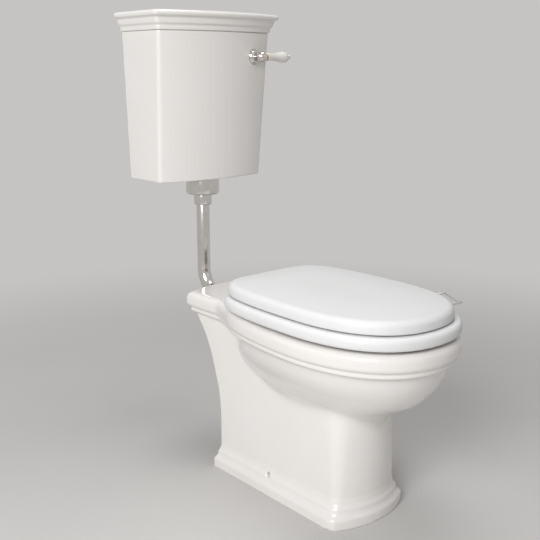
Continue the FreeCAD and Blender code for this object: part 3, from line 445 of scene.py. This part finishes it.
# Floor, background and light
def seen_directly(tree):
    """1 for what the camera sees, also in a mirror or through glass."""
    rays = tree.nodes.new("ShaderNodeLightPath")
    total = rays.outputs["Is Camera Ray"]
    for kind in ("Is Glossy Ray", "Is Transmission Ray"):
        either = tree.nodes.new("ShaderNodeMath")
        either.operation = "MAXIMUM"
        tree.links.new(total, either.inputs[0])
        tree.links.new(rays.outputs[kind], either.inputs[1])
        total = either.outputs["Value"]
    return total


def mixed(tree, factor, first, second):
    """Surface between two surfaces."""
    node = tree.nodes.new("ShaderNodeMixShader")
    tree.links.new(factor, node.inputs["Fac"])
    tree.links.new(first, node.inputs[1])
    tree.links.new(second, node.inputs[2])
    return node.outputs["Shader"]


def set_floor():
    """Round pale floor that fades into the background far from the object."""
    work = bmesh.new()
    bmesh.ops.create_circle(work, cap_ends=True, segments=FLOOR_SEGMENTS, radius=FLOOR_RADIUS)
    mesh = bpy.data.meshes.new("floor")
    work.to_mesh(mesh)
    work.free()
    floor = bpy.data.objects.new("floor", mesh)
    bpy.context.scene.collection.objects.link(floor)
    material, tree, shader = shader_of("floor_matt")
    tone = spread(tree, noise(tree, FLOOR_GRAIN), 0.0, 1.0)
    tree.links.new(blend(tree, tone, FLOOR_COLOUR, FLOOR_WORN), shader.inputs["Base Color"])
    shader.inputs["Roughness"].default_value = FLOOR_ROUGHNESS
    shader.inputs["Specular IOR Level"].default_value = FLOOR_SPECULAR
    place = tree.nodes.new("ShaderNodeTexCoord")
    distance = tree.nodes.new("ShaderNodeVectorMath")
    distance.operation = "LENGTH"
    tree.links.new(place.outputs["Object"], distance.inputs[0])
    fade = tree.nodes.new("ShaderNodeMapRange")
    fade.interpolation_type = "SMOOTHSTEP"
    fade.inputs["From Min"].default_value = FADE_START
    fade.inputs["From Max"].default_value = FADE_END
    tree.links.new(distance.outputs["Value"], fade.inputs["Value"])
    both = tree.nodes.new("ShaderNodeMath")
    both.operation = "MULTIPLY"
    tree.links.new(fade.outputs["Result"], both.inputs[0])
    tree.links.new(seen_directly(tree), both.inputs[1])
    plain = tree.nodes.new("ShaderNodeEmission")
    plain.inputs["Color"].default_value = BACKGROUND_COLOUR
    surface = mixed(tree, both.outputs["Value"], shader.outputs["BSDF"], plain.outputs["Emission"])
    tree.links.new(surface, tree.nodes["Material Output"].inputs["Surface"])
    mesh.materials.append(material)


def set_world():
    """Soft sky for light, and a plain pale background for what looks past the object."""
    world = bpy.data.worlds.new("studio")
    bpy.context.scene.world = world
    world.use_nodes = True
    tree = world.node_tree
    sky = tree.nodes["Background"]
    sky.inputs["Color"].default_value = SKY_COLOUR
    sky.inputs["Strength"].default_value = SKY_STRENGTH
    plain = tree.nodes.new("ShaderNodeBackground")
    plain.inputs["Color"].default_value = BACKGROUND_COLOUR
    shown = mixed(tree, seen_directly(tree), sky.outputs["Background"], plain.outputs["Background"])
    tree.links.new(shown, tree.nodes["World Output"].inputs["Surface"])


def add_lamp(name, place, target, size, watts):
    """Soft lamp turned to its target."""
    lamp = bpy.data.lights.new(name, "AREA")
    lamp.shape = "RECTANGLE"
    lamp.size, lamp.size_y = size
    lamp.energy = watts
    obj = bpy.data.objects.new(name, lamp)
    obj.location = place
    obj.rotation_euler = (Vector(target) - Vector(place)).to_track_quat("-Z", "Y").to_euler()
    bpy.context.scene.collection.objects.link(obj)


def add_camera():
    """The photograph's camera, which the scene then looks through."""
    camera = bpy.data.cameras.new("camera")
    camera.sensor_width = SENSOR_MM
    camera.lens = LENS_MM
    camera.shift_x, camera.shift_y = CAMERA_SHIFT
    obj = bpy.data.objects.new("camera", camera)
    obj.location = CAMERA_PLACE
    obj.rotation_euler = (math.radians(90 - CAMERA_TILT), 0, math.radians(CAMERA_TURN))
    bpy.context.scene.collection.objects.link(obj)
    bpy.context.scene.camera = obj


set_floor()
set_world()
for lamp_values in LAMPS:
    add_lamp(*lamp_values)
add_camera()
bpy.context.scene.view_settings.view_transform = "Standard"
